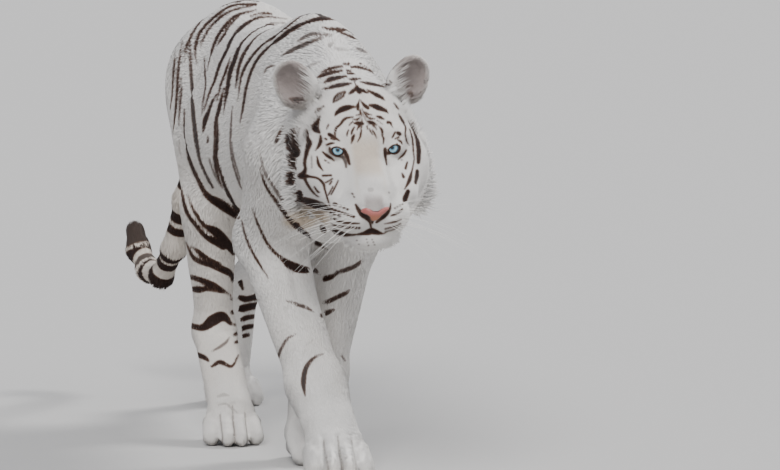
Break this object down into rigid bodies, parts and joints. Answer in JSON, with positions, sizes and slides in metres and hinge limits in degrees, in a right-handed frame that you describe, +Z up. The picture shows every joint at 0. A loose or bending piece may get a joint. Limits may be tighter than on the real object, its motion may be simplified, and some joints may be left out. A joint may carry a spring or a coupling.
{
  "type": "white tiger",
  "caption": "Life-size adult white tiger as a still display model, walking with its head low and a forepaw forward, resting on flats under its paws.",
  "frame": {"origin": "on the ground under the middle of the bounding box", "axes": "+Z up from the ground, -Y the way the tiger walks, +X towards its left side"},
  "size_m": [0.4024, 2.0458, 0.9251],
  "materials": {
    "coat": "short dense fur, white with chocolate brown stripes",
    "eye": "wet and glossy",
    "nose": "damp bare skin"
  },
  "bodies": {
    "root": {"head": "coat", "lower_jaw": "coat", "neck": "coat", "torso": "coat", "shoulder_right": "coat", "shoulder_left": "coat", "foreleg_right": "coat", "foreleg_left": "coat", "forepaw_right": "coat", "forepaw_left": "coat", "thigh_right": "coat", "thigh_left": "coat", "hindleg_right_shank": "coat", "hindleg_left_shank": "coat", "hindpaw_right": "coat", "hindpaw_left": "coat", "tail_base": "coat", "tail_middle": "coat", "tail_tip": "coat", "ear_right": "coat", "ear_left": "coat", "eye_right": "eye", "eye_left": "eye", "nose": "nose"}
  },
  "joints": []
}
